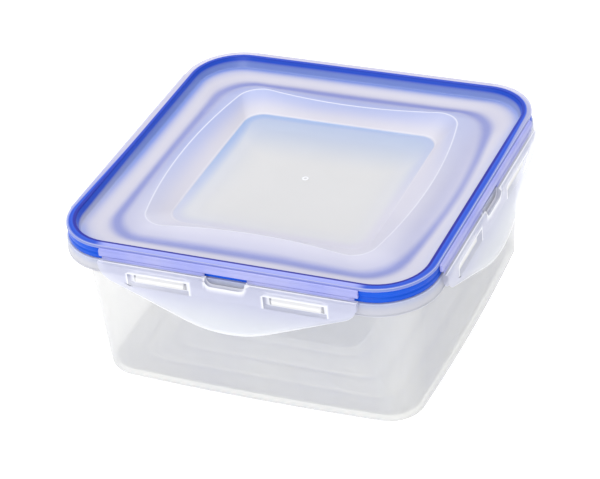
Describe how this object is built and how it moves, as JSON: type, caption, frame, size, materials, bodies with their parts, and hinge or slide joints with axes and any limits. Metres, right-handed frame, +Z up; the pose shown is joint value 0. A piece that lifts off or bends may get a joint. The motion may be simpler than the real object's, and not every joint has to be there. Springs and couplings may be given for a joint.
{
  "type": "food canister",
  "caption": "Square translucent food canister with tapered tub, dished lid, blue seal and hinged locking flaps on every side.",
  "frame": {"origin": "middle of the tub's foot, on the surface it stands on", "axes": "+Z up through the lid, -Y towards the front flap, +X towards the right flap"},
  "size_m": [0.1668, 0.1668, 0.0704],
  "materials": {
    "tub_plastic": "translucent frosted polypropylene",
    "lid_plastic": "translucent frosted polypropylene, slightly milky",
    "flap_plastic": "milky translucent polypropylene, satin gloss",
    "seal_silicone": "smooth blue silicone rubber"
  },
  "bodies": {
    "tub": {"tub": "tub_plastic"},
    "lid": {"lid": "lid_plastic", "seal": "seal_silicone", "living_hinge_front": "flap_plastic", "living_hinge_right": "flap_plastic", "living_hinge_back": "flap_plastic", "living_hinge_left": "flap_plastic"},
    "flap_front": {"flap_front": "flap_plastic"},
    "flap_right": {"flap_right": "flap_plastic"},
    "flap_back": {"flap_back": "flap_plastic"},
    "flap_left": {"flap_left": "flap_plastic"}
  },
  "joints": [
    {"name": "lid_lift", "type": "slide", "parent": "tub", "child": "lid", "axis": [0, 0, 1], "range_m": [0, 0.06]},
    {"name": "flap_front_hinge", "type": "hinge", "parent": "lid", "child": "flap_front", "pos_m": [0, -0.079, 0.06585], "axis": [-1, 0, 0], "range_deg": [0, 120], "deforming": ["living_hinge_front"]},
    {"name": "flap_right_hinge", "type": "hinge", "parent": "lid", "child": "flap_right", "pos_m": [0.079, 0, 0.06585], "axis": [0, -1, 0], "range_deg": [0, 120], "deforming": ["living_hinge_right"]},
    {"name": "flap_back_hinge", "type": "hinge", "parent": "lid", "child": "flap_back", "pos_m": [0, 0.079, 0.06585], "axis": [1, 0, 0], "range_deg": [0, 120], "deforming": ["living_hinge_back"]},
    {"name": "flap_left_hinge", "type": "hinge", "parent": "lid", "child": "flap_left", "pos_m": [-0.079, 0, 0.06585], "axis": [0, 1, 0], "range_deg": [0, 120], "deforming": ["living_hinge_left"]}
  ]
}
